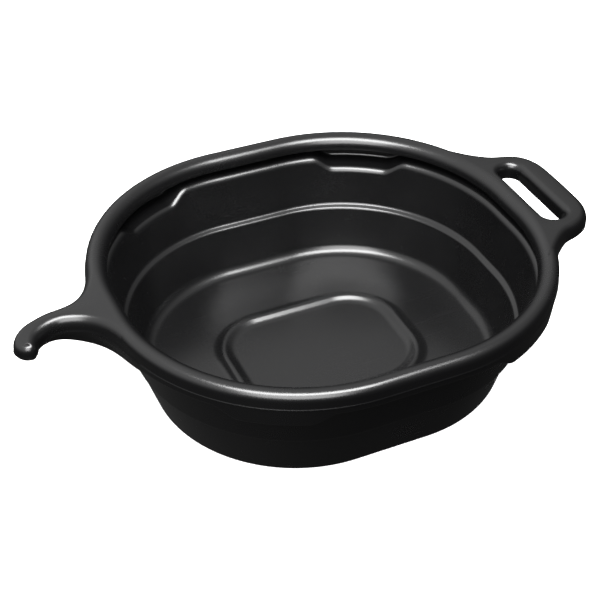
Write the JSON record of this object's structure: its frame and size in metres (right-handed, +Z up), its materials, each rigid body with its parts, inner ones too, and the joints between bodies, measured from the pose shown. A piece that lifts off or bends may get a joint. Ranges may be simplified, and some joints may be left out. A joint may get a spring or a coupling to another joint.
{
  "type": "oil drain pan",
  "caption": "Low rounded-rectangle pan for draining fluids, with stepped walls, an inward splash lip, a rolled rim, a loop grip at one end and a hooked grip at the other.",
  "frame": {"origin": "centre of the standing base, on the ground", "axes": "+X towards the loop handle, -X towards the hook handle, +Y across the pan, +Z up"},
  "size_m": [0.654, 0.455, 0.147],
  "materials": {
    "pan_plastic": "satin"
  },
  "bodies": {
    "root": {"floor": "pan_plastic", "floor_panel": "pan_plastic", "lower_wall": "pan_plastic", "wall_step": "pan_plastic", "upper_wall": "pan_plastic", "collar": "pan_plastic", "rim_ridge": "pan_plastic", "splash_lip": "pan_plastic", "loop_handle": "pan_plastic", "hook_handle": "pan_plastic"}
  },
  "joints": []
}
